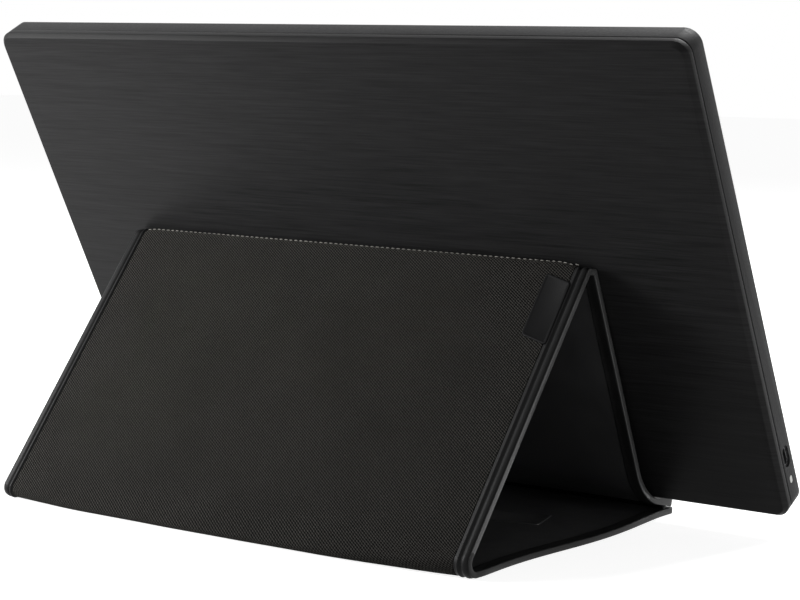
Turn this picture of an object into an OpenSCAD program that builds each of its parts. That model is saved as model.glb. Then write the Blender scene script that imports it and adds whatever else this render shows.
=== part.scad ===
// Portable monitor leaning on its folding cover. The cover is one long strip of four stiff panels:
// a base on the table, a rear panel that climbs to a crest, a support panel that comes down again
// behind the monitor, and a soft ledge that curls forward under the monitor's lower edge.
// Millimetres, +Z up, the screen faces -Y. The origin is on the table under the middle of the base.

/* [Monitor case] */
// Width of the monitor
case_w = 382.2; // [300:0.1:420]
// Height of the monitor, along the screen
case_h = 235.9; // [200:0.1:280]
// Depth of the front bezel's side wall
bezel_d = 9.3; // [8.6:0.1:12]
// Depth of the back cover's side wall, up to its chamfer
cover_side_d = 2.7; // [2:0.1:5]
// Width of the chamfer round the back face
chamfer = 1.9; // [1:0.1:2.4]
// Outer radius of the case corners
corner_r = 7; // [5:0.5:12]
// Thickness of the case's side walls
wall = 1.6; // [1.2:0.1:2]
// Thickness of the bezel's front plate
front_t = 1.4; // [1:0.1:1.8]
// Thickness of the back cover's plate
back_t = 1.4; // [1:0.1:1.8]

/* [Screen] */
// Width of the border beside the picture, on each side
side_border = 19; // [17:0.1:30]
// Width of the border above the picture
top_border = 17; // [12:0.1:30]
// Width of the border below the picture
view_z = 25.4; // [22:0.1:32]
// Thickness of the glass cell
cell_t = 1.4; // [1:0.1:1.8]
// How far the glass cell runs past the picture at the top and the sides
cell_margin = 4; // [3:0.5:5]
// How far the glass cell runs past the picture at the bottom
cell_foot = 8.5; // [8.5:0.1:10]
// Thickness of the diffuser films
diffuser_t = 0.5; // [0.3:0.1:0.7]
// Thickness of the light guide
guide_t = 1.8; // [1.2:0.1:2]
// Thickness of the reflector sheet
reflector_t = 0.2; // [0.1:0.05:0.3]
// Height of the row of lights under the light guide
led_h = 3; // [2:0.1:3.4]
// Thickness of the backlight tray's sheet metal
tray_t = 0.6; // [0.4:0.1:0.8]

/* [Electronics] */
// Width of the driver board
board_w = 92; // [60:1:140]
// Height of the driver board
board_h = 40; // [36:1:44]
// Thickness of the circuit boards
board_t = 1.2; // [0.8:0.1:1.6]
// Height of the standoffs under the driver board
standoff_h = 0.7; // [0.5:0.1:1]
// Height of the chips on the driver board
chip_h = 1.4; // [0.8:0.1:1.8]
// Diameter of the small screws' threads
screw_d = 2; // [1.6:0.1:2.5]
// Width of the flat cable between the board and the glass cell
cable_w = 32; // [20:1:50]
// Thickness of the flat cable
cable_t = 0.3; // [0.2:0.05:0.5]

/* [Side socket] */
// Height of the socket's middle above the case's lower edge
port_z = 28.5; // [26.5:0.5:34]
// Length of the socket's metal shell, along the case's edge
port_l = 9; // [8:0.1:10]
// Thickness of the socket's metal shell, through the case
port_t = 3.2; // [2.8:0.1:3.2]
// Depth of the socket, into the case
port_depth = 9; // [7:0.1:10]
// Depth of the shallow recess round the socket
recess_d = 0.7; // [0.4:0.1:0.9]
// Height of the side light above the case's lower edge
side_light_z = 16; // [14:0.5:19]
// Length of the side light's lens
side_light_l = 3.6; // [2.4:0.1:5]
// Width of the side light's lens
side_light_w = 2; // [1.6:0.1:2.2]

/* [Power button] */
// Distance of the power button's middle from the case's side
button_in = 27.1; // [22:0.1:60]
// Height of the power button above the case's lower edge
button_z = 9; // [8:0.5:10]
// Length of the power button
button_l = 12; // [8:0.5:16]
// Width of the power button
button_h = 3.6; // [2.8:0.1:4.4]
// How far the power button stands out of the bezel
button_proud = 0.3; // [0.2:0.1:0.5]
// Travel of the power button
button_travel = 0.4; // [0.2:0.1:0.6]
// Distance from the power button's middle to the power light's middle
power_light_x = 15; // [12:1:24]

/* [Cover panels] */
// Width of the cover, over its bindings
cover_w = 264; // [220:1:320]
// How far the cover's middle lies to the side of the monitor's middle
cover_x = 8; // [-20:1:20]
// Length of the rear panel, from the front fold to the crest, as if both were sharp
rear_len = 160.7; // [130:0.1:180]
// Angle between the base panel and the rear panel
front_angle = 51.5; // [47:0.1:56]
// Angle between the rear panel and the support panel at the crest
crest_angle = 62.9; // [58:0.1:67]
// Inner radius of the crest
crest_inner_r = 0.8; // [0.7:0.1:2]
// Inner radius of the bindings at the front fold
front_inner_r = 3.7; // [1.5:0.1:5]
// Outer radius of the woven skin at the front fold
crease_r = 2.2; // [1.6:0.1:3.4]
// Radius of the soft bend between the support panel and the ledge
bend_r = 27; // [22:0.5:32]
// Slope of the ledge's flat end
ledge_slope = 13; // [8:0.5:18]
// Length of the ledge's flat end
ledge_len = 14.4; // [12:0.1:18]
// How far the base panel runs past the ledge's tip
base_lip = 0.6; // [0:0.1:4]
// Total thickness of a panel at its bindings
panel_t = 2.8; // [2.6:0.1:3.6]
// Thickness of the woven outer skin
skin_t = 0.7; // [0.4:0.1:0.9]
// Thickness of the inner lining
lining_t = 0.5; // [0.3:0.1:0.7]
// How far the bindings stand out of the skin and the lining
bind_t = 0.3; // [0.2:0.05:0.4]
// Width of the bindings on each face
bind_w = 6; // [4:0.5:8]
// Thickness of the bindings' rim round the panel's edge
rim_t = 1.2; // [0.8:0.1:2]
// How far the stiff boards stop short of the curve at each fold
board_gap = 1; // [0.5:0.5:4]

/* [Cover details] */
// Diameter of the magnets
magnet_d = 7; // [5:0.5:8]
// Number of magnets in each row
magnet_n = 4; // [2:1:6]
// Distance from one magnet to the next
magnet_pitch = 56; // [40:1:60]
// Width of the label tab
label_w = 14; // [10:0.5:20]
// Length of the label tab, down the rear panel
label_l = 32; // [20:0.5:40]
// Thickness of the label tab
label_t = 0.8; // [0.5:0.1:1.2]
// Distance of the label tab's upper end from the crest
label_drop = 11; // [9:0.5:20]
// Length of the tab on the base's lining
lining_tab_l = 28; // [20:1:36]
// Width of the tab on the base's lining
lining_tab_w = 22; // [12:1:26]
// Thickness of the tab on the base's lining
lining_tab_t = 0.8; // [0.5:0.1:1.2]
// Distance of that tab's middle from the cover's side edge
lining_tab_in = 44; // [36:1:120]
// Distance of that tab's middle from the front fold
lining_tab_back = 119; // [70:1:126]
// Turn of that tab from the cover's length
lining_tab_turn = 15; // [0:1:45]

/* [Pose] */
// How far the monitor leans back from upright
lean = 27.8; // [25.5:0.1:30]
// Clearance between the monitor and the cover that carries it
rest_gap = 0.3; // [0.1:0.05:0.5]

/* [Hidden] */
$fn = 48;

// Small clearances: a fit between hard pieces, and half the gap in a fold.
fit = 0.2;
fold_gap = 0.15;
// Overshoot of a cut past the face it opens, and of a cut through a panel.
over = 1;
cut = 0.3;

// Size of the visible picture, then depths through the case, from the screen side to the back.
view_w = case_w - 2 * side_border;
view_h = case_h - view_z - top_border;
side_d = bezel_d + cover_side_d;
case_d = side_d + chamfer;
cell_y = front_t;
diffuser_y = cell_y + cell_t;
guide_y = diffuser_y + diffuser_t;
reflector_y = guide_y + guide_t;
tray_y = reflector_y + reflector_t;
board_y = tray_y + tray_t + standoff_h;
chip_y = board_y + board_t;
shield_t = 0.3;
shield_gap = 0.3;
shield_y = chip_y + chip_h + shield_gap;
cover_y = case_d - back_t;

// Sizes round the light guide and its tray.
guide_margin = 3;
guide_w = view_w + 2 * guide_margin;
guide_h = view_h + 2 * guide_margin;
guide_z = view_z - guide_margin;
led_z = guide_z - fit - led_h;
tray_w = guide_w + 2 * (fit + tray_t);
tray_z = led_z - fit - tray_t;
tray_top = guide_z + guide_h + fit + tray_t;

// Screws that hold the tray, in the strip between the tray and the case's side wall.
boss_r = 2.8;
standoff_r = 2.2;
boss_x = (case_w / 2 - wall + tray_w / 2) / 2;
boss_z = [view_z + 0.2 * view_h, view_z + 0.52 * view_h, view_z + 0.84 * view_h];
ear_margin = 1;
ear_h = 2 * (boss_r + ear_margin);
head_r = 1.9;
head_h = 1.1;
bite = 1.6;
board_screw_r = screw_d / 2 - fit;

// Driver board, in the lower corner beside the socket.
board_in = 1.5;
board_x = -case_w / 2 + wall + board_in;
board_foot = 12;
board_z = port_z - port_l / 2 - board_foot;
board_hole_in = 4;
port_clear = 12;
board_bottom = max(board_z, tray_z) + board_hole_in;
board_holes = [
    for (x = [board_x + port_depth + port_clear, board_x + board_w - board_hole_in])
    for (z = [board_bottom, board_z + board_h - board_hole_in]) [x, z]
];

// The shield over the chips, between the board's screws.
shield_in = 8;
screw_clear = 0.5;
shield_x = board_x + 0.2 * board_w;
shield_w = 0.8 * board_w - shield_in;
shield_z = board_bottom + head_r + screw_clear;
shield_h = board_z + board_h - board_hole_in - head_r - screw_clear - shield_z;

// Socket, side light and power button.
port_y = board_y - port_t;
port_x = -case_w / 2 + recess_d + fit;
port_wall = 0.35;
recess_margin = 0.9;
button_x = case_w / 2 - button_in;
button_flange = 0.8;
button_r = button_h / 2;
switch_y = front_t + fit / 4 + button_flange + button_travel + fit / 4;
switch_l = 4.6;
switch_h = 1.5;
plunger_h = 0.5;
button_board_y = switch_y + plunger_h + switch_h;
button_board_h = 9;
button_board_end = 6;
pillar_r = 1.2;
lens_foot = 1.2;

// The cover's section in the YZ plane, first from the front fold: slopes, then key points. The
// ledge takes the last few degrees of the bend with it, because it folds where its board starts.
support_slope = 180 - front_angle - crest_angle;
ledge_turn = 5;
split_slope = ledge_slope + ledge_turn;
crest_f = rear_len * [-cos(front_angle), sin(front_angle)];
bend_drop = bend_r * (cos(ledge_slope) - cos(support_slope));
tip_z = panel_t + rest_gap + panel_t * cos(ledge_slope);
support_len = (crest_f[1] - bend_drop - ledge_len * sin(ledge_slope) - tip_z) / sin(support_slope);
tip_f = crest_f[0] - support_len * cos(support_slope)
    - bend_r * (sin(support_slope) - sin(ledge_slope)) - ledge_len * cos(ledge_slope);
base_len = base_lip - tip_f;

// Outer radii of the crest and of the bindings at the front fold.
crest_r = panel_t + crest_inner_r;
front_r = panel_t + front_inner_r;

// The same points from the origin, which lies midway between the base's free end and the fold's
// foremost point. Depth d counts from a panel's outer face inward.
fold_reach = crease_r * (1 - 1 / tan(front_angle / 2));
fold = [(base_len - fold_reach) / 2, 0];
crest = fold + crest_f;
function rear_at(s, d) = fold + s * [-cos(front_angle), sin(front_angle)]
    - d * [sin(front_angle), cos(front_angle)];
function base_at(s, d) = fold + [-s, d];
function support_at(s, d) = crest - s * [cos(support_slope), sin(support_slope)]
    + d * [sin(support_slope), -cos(support_slope)];
bend_c = support_at(support_len, -bend_r);
function bend_at(a, d) = bend_c + (bend_r + d) * [sin(a), -cos(a)];
function ledge_at(s, d) = bend_at(ledge_slope, d) - s * [cos(ledge_slope), sin(ledge_slope)];

// Directions that the panels' outer faces look in, and the middle of each fold.
rear_look = 90 - front_angle;
support_look = 90 + support_slope;
fold_look = -front_angle / 2;
crest_look = (rear_look + support_look) / 2;
function toward(a) = [cos(a), sin(a)];

// Centres of the rounded folds. A fold of radius r has its centre this far inside the corner.
function fold_c(r) = fold - r / sin(front_angle / 2) * toward(fold_look);
crest_c = crest - crest_r / sin(crest_angle / 2) * toward(crest_look);
front_run = front_r / tan(front_angle / 2);
crest_run = crest_r / tan(crest_angle / 2);

// Depths inside a panel.
skin_d = bind_t;
stiff_d = bind_t + skin_t;
lining_d = panel_t - bind_t - lining_t;
inner_d = panel_t - bind_t;

// Lines along each panel at depth d, from one fold's middle to the next. Panels stop g short of
// a fold's middle, r is the front fold's outer radius, and s1 is an inset from a free end.
arc_steps = 5;
bend_step = 5;
function arc(c, r, a0, a1) = [
    for (i = [0 : arc_steps]) c + r * toward(a0 + (a1 - a0) * i / arc_steps)
];
function gap_turn(g, r) = asin(g / r);
function base_line(d, r, g, s1) = concat(
    [base_at(base_len - s1, d)],
    arc(fold_c(r), r - d, -90, fold_look - gap_turn(g, r - d))
);
function rear_line(d, r, g) = concat(
    arc(fold_c(r), r - d, fold_look + gap_turn(g, r - d), rear_look),
    arc(crest_c, crest_r - d, rear_look, crest_look - gap_turn(g, crest_r - d))
);
function bend_line(a0, a1, d) = [
    let (n = ceil(abs(a1 - a0) / bend_step))
    for (i = [0 : n]) bend_at(a0 + (a1 - a0) * i / n, d)
];
function support_line(d, g) = concat(
    arc(crest_c, crest_r - d, crest_look + gap_turn(g, crest_r - d), support_look),
    bend_line(support_slope, split_slope + gap_turn(g, bend_r), d)
);
function ledge_line(d, g, s1) = concat(
    bend_line(split_slope - gap_turn(g, bend_r), ledge_slope, d), [ledge_at(ledge_len - s1, d)]
);

// Sections between depths d0 and d1: one line out and the other one back.
function back_along(line) = [for (i = [len(line) - 1 : -1 : 0]) line[i]];
function layer(out, inn) = concat(out, back_along(inn));
function base_layer(d0, d1, r = front_r, g = fold_gap, s1 = 0) =
    layer(base_line(d0, r, g, s1), base_line(d1, r, g, s1));
function rear_layer(d0, d1, r = front_r, g = fold_gap) =
    layer(rear_line(d0, r, g), rear_line(d1, r, g));
function support_layer(d0, d1, g = fold_gap) = layer(support_line(d0, g), support_line(d1, g));
function ledge_layer(d0, d1, g = fold_gap, s1 = 0) =
    layer(ledge_line(d0, g, s1), ledge_line(d1, g, s1));

// Where the monitor sits: its back is rest_gap from the crest, and its lower back edge is
// rest_gap from the bend or the ledge, whichever it meets first on its way down.
up = [sin(lean), cos(lean)];
back = [cos(lean), -sin(lean)];
crest_out = crest_c - (crest_r + case_d + rest_gap) * back;
function edge_on_bend(e, from, r) =
    let (q = from + e[0] * back - bend_c, b = q * up, c = q * q - r * r)
    -b - sqrt(max(0, b * b - c)) + (-e[1]);
function edge_on_ledge(e, from) =
    let (n = [-sin(ledge_slope), cos(ledge_slope)], q = from + e[0] * back - ledge_at(0, 0))
    (rest_gap - q * n) / (up * n) - e[1];
function edge_seat(e, from) =
    let (v = edge_on_bend(e, from, bend_r - rest_gap), p = from + e[0] * back + (v + e[1]) * up)
    p[0] > ledge_at(0, 0)[0] ? v : edge_on_ledge(e, from);
// The two corners of the lower back edge, as [depth, height], above and below the chamfer.
low_edges = [[side_d, 0], [case_d, chamfer]];
crest_foot = crest_out - (crest_out * up) * up;
seat = max([for (e = low_edges) edge_seat(e, crest_foot)]);
case_at = crest_foot + seat * up;

// A prism across the cover, from x0 to x1, over a section in the YZ plane.
module across(section, x0, x1) {
    translate([x0, 0, 0]) rotate([90, 0, 90]) linear_extrude(height = x1 - x0) polygon(section);
}

// A layer of a panel over the cover's whole width inside the rim.
module panel_layer(section) {
    across(section, cover_x - cover_w / 2 + rim_t, cover_x + cover_w / 2 - rim_t);
}

// A woven skin that folds sharply between the bindings and more roundly under them.
module skin_layer(sharp, round) {
    left = cover_x - cover_w / 2;
    right = cover_x + cover_w / 2;
    across(sharp, left + bind_w, right - bind_w);
    across(round, left + rim_t, left + bind_w);
    across(round, right - bind_w, right - rim_t);
}

// A stiff board, a little narrower than the layers round it.
module stiff_layer(section) {
    inset = rim_t + board_gap;
    across(section, cover_x - cover_w / 2 + inset, cover_x + cover_w / 2 - inset);
}

// The folded bindings round a panel's edges: the whole panel less its open middle and its core.
module bindings(whole, middle, core) {
    left = cover_x - cover_w / 2;
    right = cover_x + cover_w / 2;
    difference() {
        across(whole, left, right);
        across(middle, left + bind_w, right - bind_w);
        across(core, left + rim_t, right - rim_t);
    }
}

// A row of discs, one magnet each, spread over the cover's width in the current plane.
module magnet_row(height, extra = 0) {
    for (i = [0 : magnet_n - 1])
        translate([cover_x + (i - (magnet_n - 1) / 2) * magnet_pitch, 0, 0])
            cylinder(d = magnet_d + extra, h = height);
}

module at_base_magnets(d) {
    p = base_at(base_len - bind_w - magnet_d / 2, d);
    translate([0, p[0], p[1]]) children();
}

// Flat on the ledge's flat end, with +Z into the panel.
module at_ledge_magnets(d) {
    p = ledge_at(ledge_len - rim_t - fit - magnet_d / 2, d);
    translate([0, p[0], p[1]]) rotate([180 + ledge_slope, 0, 0]) children();
}

// The monitor's own frame: X across, Y from the screen to the back, Z up the screen.
module on_monitor() {
    translate([0, case_at[0], case_at[1]]) rotate([-lean, 0, 0]) children();
}

// An upright plate with rounded corners, its lower edge at z0, from depth y0 to y1.
module rounded_plate(w, h, r, y0, y1, z0 = 0) {
    translate([0, y1, z0]) rotate([90, 0, 0]) linear_extrude(height = y1 - y0) {
        translate([-w / 2 + r, 0]) square([w - 2 * r, h]);
        translate([-w / 2, r]) square([w, h - 2 * r]);
        for (x = [-w / 2 + r, w / 2 - r]) for (z = [r, h - r]) translate([x, z]) circle(r);
    }
}

// The back cover's outer body: a plate with rounded corners and straight sides of depth d from
// y0, then a chamfer c. Two prisms cross, and a turned piece fills each corner.
module chamfered_plate(w, h, r, c, y0, d) {
    profile_x = [[-w / 2, 0], [w / 2, 0], [w / 2, d], [w / 2 - c, d + c], [-w / 2 + c, d + c], [-w / 2, d]];
    profile_z = [[0, 0], [d, 0], [d + c, c], [d + c, h - c], [d, h], [0, h]];
    corner = [[0, 0], [r, 0], [r, d], [r - c, d + c], [0, d + c]];
    translate([0, y0, r]) linear_extrude(height = h - 2 * r) polygon(profile_x);
    translate([-w / 2 + r, y0, 0]) rotate([90, 0, 90]) linear_extrude(height = w - 2 * r)
        polygon(profile_z);
    for (x = [-w / 2 + r, w / 2 - r]) for (z = [r, h - r])
        translate([x, y0, z]) rotate([-90, 0, 0]) rotate_extrude() polygon(corner);
}

// A bar with round ends, through the case's side wall, long way up the screen.
module side_slot(l, w, x0, x1) {
    translate([x0, 0, 0]) rotate([90, 0, 90]) linear_extrude(height = x1 - x0) {
        translate([-w / 2, -l / 2 + w / 2]) square([w, l - w]);
        for (z = [-l / 2 + w / 2, l / 2 - w / 2]) translate([0, z]) circle(d = w);
    }
}

// A bar with round ends, through the bezel's front plate, long way across.
module front_slot(l, w, y0, y1) {
    translate([0, y1, 0]) rotate([90, 0, 0]) linear_extrude(height = y1 - y0) {
        translate([-l / 2 + w / 2, -w / 2]) square([l - w, w]);
        for (x = [-l / 2 + w / 2, l / 2 - w / 2]) translate([x, 0]) circle(d = w);
    }
}

module case_box(x0, x1, y0, y1, z0, z1) {
    translate([x0, y0, z0]) cube([x1 - x0, y1 - y0, z1 - z0]);
}

// A rod along the case's depth.
module case_rod(r, x, z, y0, y1) {
    translate([x, y0, z]) rotate([-90, 0, 0]) cylinder(r = r, h = y1 - y0);
}

module front_bezel() {
    color("#2c2c2e") on_monitor() {
        difference() {
            rounded_plate(case_w, case_h, corner_r, 0, bezel_d);
            rounded_plate(case_w - 2 * wall, case_h - 2 * wall, corner_r - wall,
                front_t, bezel_d + over, wall);
            case_box(-view_w / 2, view_w / 2, -over, front_t + over, view_z, view_z + view_h);
            translate([0, port_y + port_t / 2, port_z]) {
                side_slot(port_l + 2 * recess_margin, port_t + 2 * recess_margin,
                    -case_w / 2 - over, -case_w / 2 + recess_d);
                side_slot(port_l + fit, port_t + fit, -case_w / 2 - over, -case_w / 2 + wall + over);
            }
            translate([0, port_y + port_t / 2, side_light_z])
                side_slot(side_light_l, side_light_w, -case_w / 2 - over, -case_w / 2 + wall + over);
            translate([button_x, 0, button_z])
                front_slot(button_l + fit, button_h + fit, -over, front_t + over);
            translate([button_x - power_light_x, 0, button_z])
                front_slot(3 * lens_foot, lens_foot, -over, front_t + over);
        }
        for (x = [-boss_x, boss_x]) for (z = boss_z) difference() {
            case_rod(boss_r, x, z, front_t, tray_y);
            case_rod(screw_d / 2, x, z, tray_y - bite, tray_y + over);
        }
    }
}

module back_cover() {
    lip = 1;
    lip_d = 1.6;
    rib_t = 1.2;
    rib_h = 0.9;
    root = 0.3;
    color("#1d1d1f") on_monitor() {
        difference() {
            union() {
                chamfered_plate(case_w, case_h, corner_r, chamfer, bezel_d, cover_side_d);
                rounded_plate(case_w - 2 * wall - fit, case_h - 2 * wall - fit, corner_r - wall,
                    bezel_d - lip_d, bezel_d + root, wall + fit / 2);
            }
            rounded_plate(case_w - 2 * wall - 2 * lip, case_h - 2 * wall - 2 * lip,
                corner_r - wall - lip, bezel_d - lip_d - over, cover_y, wall + lip);
        }
        for (x = [-0.3, 0, 0.3] * case_w)
            case_box(x, x + rib_t, cover_y - rib_h, cover_y + root,
                wall + lip - root, case_h - wall - lip + root);
        for (z = [0.36, 0.68] * case_h)
            case_box(-case_w / 2 + wall + lip - root, case_w / 2 - wall - lip + root,
                cover_y - rib_h, cover_y + root, z, z + rib_t);
    }
}

module lcd_panel() {
    color("#0b0d12") on_monitor()
        case_box(-view_w / 2 - cell_margin, view_w / 2 + cell_margin, cell_y, cell_y + cell_t,
            view_z - cell_foot, view_z + view_h + cell_margin);
}

module guide_layer(y, t) {
    case_box(-guide_w / 2, guide_w / 2, y, y + t, guide_z, guide_z + guide_h);
}

module diffuser_stack() {
    color("#e9ecef") on_monitor() guide_layer(diffuser_y, diffuser_t);
}

module light_guide() {
    color("#dfe8ea") on_monitor() guide_layer(guide_y, guide_t);
}

module reflector_sheet() {
    color("#f5f5f5") on_monitor() guide_layer(reflector_y, reflector_t);
}

module led_strip() {
    led_w = 3.5;
    led_n = 36;
    flex_t = 0.4;
    end = 2;
    pitch = (guide_w - 2 * end) / led_n;
    color("#e8d9a0") on_monitor() {
        case_box(-guide_w / 2, guide_w / 2, tray_y - flex_t, tray_y, led_z, led_z + led_h);
        for (i = [0 : led_n - 1]) {
            x = -guide_w / 2 + end + (i + 0.5) * pitch;
            case_box(x - led_w / 2, x + led_w / 2, guide_y, tray_y - flex_t, led_z, led_z + led_h);
        }
    }
}

module backlight_tray() {
    color("#b9bcbf") on_monitor() {
        difference() {
            union() {
                case_box(-tray_w / 2, tray_w / 2, diffuser_y, tray_y + tray_t, tray_z, tray_top);
                for (x = [-1, 1]) for (z = boss_z)
                    case_box(min(x * boss_x, x * tray_w / 2) - (x < 0 ? boss_r : 0),
                        max(x * boss_x, x * tray_w / 2) + (x > 0 ? boss_r : 0),
                        tray_y, tray_y + tray_t, z - ear_h / 2, z + ear_h / 2);
            }
            case_box(-tray_w / 2 + tray_t, tray_w / 2 - tray_t, diffuser_y - over, tray_y,
                tray_z + tray_t, tray_top - tray_t);
            for (x = [-boss_x, boss_x]) for (z = boss_z)
                case_rod(screw_d / 2, x, z, tray_y - over, tray_y + tray_t + over);
        }
        for (p = board_holes) difference() {
            case_rod(standoff_r, p[0], p[1], tray_y + tray_t, board_y);
            case_rod(board_screw_r, p[0], p[1], tray_y + tray_t, board_y + over);
        }
    }
}

// A small pan-head screw with its head on the side of +Y, its head's underside at depth y.
module case_screw(x, z, y, depth, r) {
    slot_depth = 0.5;
    difference() {
        union() {
            case_rod(r, x, z, y - depth, y);
            case_rod(head_r, x, z, y, y + head_h);
        }
        case_rod(r * 0.6, x, z, y + head_h - slot_depth, y + head_h + over);
    }
}

module tray_screws() {
    color("#8d9093") on_monitor()
        for (x = [-boss_x, boss_x]) for (z = boss_z)
            case_screw(x, z, tray_y + tray_t, tray_t + bite - fit, screw_d / 2);
}

module driver_board() {
    // Each chip's middle as shares of the shield's width and height, then its own width and height.
    chips = [[0.2, 0.5, 14, 14], [0.45, 0.4, 10, 8], [0.65, 0.6, 9, 9], [0.86, 0.45, 6, 10]];
    color("#1f5a3a") on_monitor() difference() {
        union() {
            case_box(board_x, board_x + board_w, board_y, board_y + board_t,
                board_z, board_z + board_h);
            for (c = chips)
                translate([shield_x + c[0] * shield_w, 0, shield_z + c[1] * shield_h])
                    case_box(-c[2] / 2, c[2] / 2, chip_y, chip_y + chip_h, -c[3] / 2, c[3] / 2);
        }
        for (p = board_holes)
            case_rod(screw_d / 2, p[0], p[1], board_y - over, board_y + board_t + chip_h + over);
    }
}

module board_screws() {
    color("#8d9093") on_monitor()
        for (p = board_holes)
            case_screw(p[0], p[1], chip_y, board_t + standoff_h - fit, board_screw_r);
}

module board_shield() {
    vent_r = 1.2;
    color("#c9ccce") on_monitor() translate([shield_x, 0, shield_z]) difference() {
        case_box(0, shield_w, chip_y, shield_y + shield_t, 0, shield_h);
        case_box(shield_t, shield_w - shield_t, chip_y - over, shield_y, shield_t, shield_h - shield_t);
        for (i = [1 : 5]) case_rod(vent_r, shield_w * i / 6, shield_h / 2, chip_y, case_d);
    }
}

// The flat cable leaves the board's back, turns under the tray and meets the glass cell's foot.
module panel_cable() {
    x0 = board_x + 0.5 * board_w;
    reach = 3;
    top = tray_z - fit;
    low = min(board_z, view_z - cell_foot) - reach;
    y_in = cell_y + cell_t;
    y_out = chip_y;
    path = [
        [y_in, top], [y_in, low], [y_out + cable_t, low],
        [y_out + cable_t, board_z + reach], [y_out, board_z + reach], [y_out, low + cable_t],
        [y_in + cable_t, low + cable_t], [y_in + cable_t, top]
    ];
    color("#3a2f1c") on_monitor()
        translate([x0, 0, 0]) rotate([90, 0, 90]) linear_extrude(height = cable_w) polygon(path);
}

module usb_port() {
    color("#b4b7ba") on_monitor() translate([0, port_y + port_t / 2, port_z]) difference() {
        side_slot(port_l, port_t, port_x, port_x + port_depth);
        side_slot(port_l - 2 * port_wall, port_t - 2 * port_wall,
            port_x - over, port_x + port_depth - port_wall);
    }
}

module port_tongue() {
    tongue_t = 0.7;
    end = 1.1;
    back_off = 0.8;
    color("#26282b") on_monitor() translate([0, port_y + port_t / 2, port_z])
        case_box(port_x + back_off, port_x + port_depth - port_wall,
            -tongue_t / 2, tongue_t / 2, -port_l / 2 + end, port_l / 2 - end);
}

module side_light_lens() {
    color("#e8e8e0") on_monitor() translate([0, port_y + port_t / 2, side_light_z])
        side_slot(side_light_l, side_light_w, -case_w / 2, -case_w / 2 + wall);
}

module power_button() {
    flange = 1;
    color("#2c2c2e") on_monitor() translate([button_x, 0, button_z]) {
        front_slot(button_l, button_h, -button_proud, front_t + fit / 4);
        front_slot(button_l + 2 * flange, button_h + 2 * flange, front_t + fit / 4,
            front_t + fit / 4 + button_flange);
    }
}

module button_switch() {
    color("#3b3d40") on_monitor() {
        case_box(button_x - switch_l / 2, button_x + switch_l / 2, switch_y + plunger_h,
            button_board_y, button_z - switch_l / 2, button_z + switch_l / 2);
        case_rod(pillar_r, button_x, button_z, switch_y, switch_y + plunger_h);
    }
}

// The small board behind the bezel, on two pillars that reach the bezel's front plate.
module button_board() {
    x0 = button_x - power_light_x - button_board_end;
    x1 = button_x + button_l / 2 + button_board_end;
    z0 = button_z - button_board_h / 2;
    color("#1f5a3a") on_monitor() {
        case_box(x0, x1, button_board_y, button_board_y + board_t, z0, z0 + button_board_h);
        for (x = [x0 + pillar_r, x1 - pillar_r])
            case_rod(pillar_r, x, button_z, front_t, button_board_y);
    }
}

module power_light_lens() {
    color("#dfe6ea") on_monitor() translate([button_x - power_light_x, 0, button_z])
        front_slot(3 * lens_foot, lens_foot, 0, button_board_y);
}

module rear_skin() {
    color("#2b2824") skin_layer(rear_layer(skin_d, stiff_d, crease_r), rear_layer(skin_d, stiff_d));
}

module rear_board() {
    s0 = front_run + board_gap;
    s1 = rear_len - crest_run - board_gap;
    color("#6b6357") stiff_layer([
        rear_at(s0, stiff_d), rear_at(s1, stiff_d), rear_at(s1, lining_d), rear_at(s0, lining_d)
    ]);
}

module rear_lining() {
    color("#17171a") panel_layer(rear_layer(lining_d, inner_d));
}

module rear_bindings() {
    color("#111113") bindings(rear_layer(0, panel_t), rear_layer(-cut, panel_t + cut, front_r, -cut),
        rear_layer(bind_t, inner_d, front_r, -cut));
}

module base_skin() {
    color("#2b2824") skin_layer(base_layer(skin_d, stiff_d, crease_r, fold_gap, rim_t),
        base_layer(skin_d, stiff_d, front_r, fold_gap, rim_t));
}

module base_board() {
    s0 = front_run + board_gap;
    s1 = base_len - rim_t - fit;
    color("#6b6357") difference() {
        stiff_layer([
            base_at(s0, stiff_d), base_at(s1, stiff_d), base_at(s1, lining_d), base_at(s0, lining_d)
        ]);
        at_base_magnets(stiff_d - over) magnet_row(lining_d - stiff_d + 2 * over, fit);
    }
}

module base_lining() {
    color("#17171a") panel_layer(base_layer(lining_d, inner_d, front_r, fold_gap, rim_t));
}

module base_bindings() {
    color("#111113") bindings(base_layer(0, panel_t),
        base_layer(-cut, panel_t + cut, front_r, -cut, bind_w),
        base_layer(bind_t, inner_d, front_r, -cut, rim_t));
}

module support_skin() {
    color("#2b2824") panel_layer(support_layer(skin_d, stiff_d));
}

module support_board() {
    s0 = crest_run + board_gap;
    color("#6b6357") stiff_layer([
        support_at(s0, stiff_d), support_at(support_len, stiff_d),
        support_at(support_len, lining_d), support_at(s0, lining_d)
    ]);
}

module support_lining() {
    color("#17171a") panel_layer(support_layer(lining_d, inner_d));
}

module support_bindings() {
    color("#111113") bindings(support_layer(0, panel_t), support_layer(-cut, panel_t + cut, -cut),
        support_layer(bind_t, inner_d, -cut));
}

module ledge_skin() {
    color("#2b2824") panel_layer(ledge_layer(skin_d, stiff_d, fold_gap, rim_t));
}

module ledge_board() {
    s1 = ledge_len - rim_t - fit / 2;
    color("#6b6357") difference() {
        stiff_layer([
            ledge_at(0, stiff_d), ledge_at(s1, stiff_d), ledge_at(s1, lining_d), ledge_at(0, lining_d)
        ]);
        at_ledge_magnets(stiff_d - over) magnet_row(lining_d - stiff_d + 2 * over, fit);
    }
}

module ledge_lining() {
    color("#17171a") panel_layer(ledge_layer(lining_d, inner_d, fold_gap, rim_t));
}

module ledge_bindings() {
    color("#111113") bindings(ledge_layer(0, panel_t),
        ledge_layer(-cut, panel_t + cut, -cut, bind_w), ledge_layer(bind_t, inner_d, -cut, rim_t));
}

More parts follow.
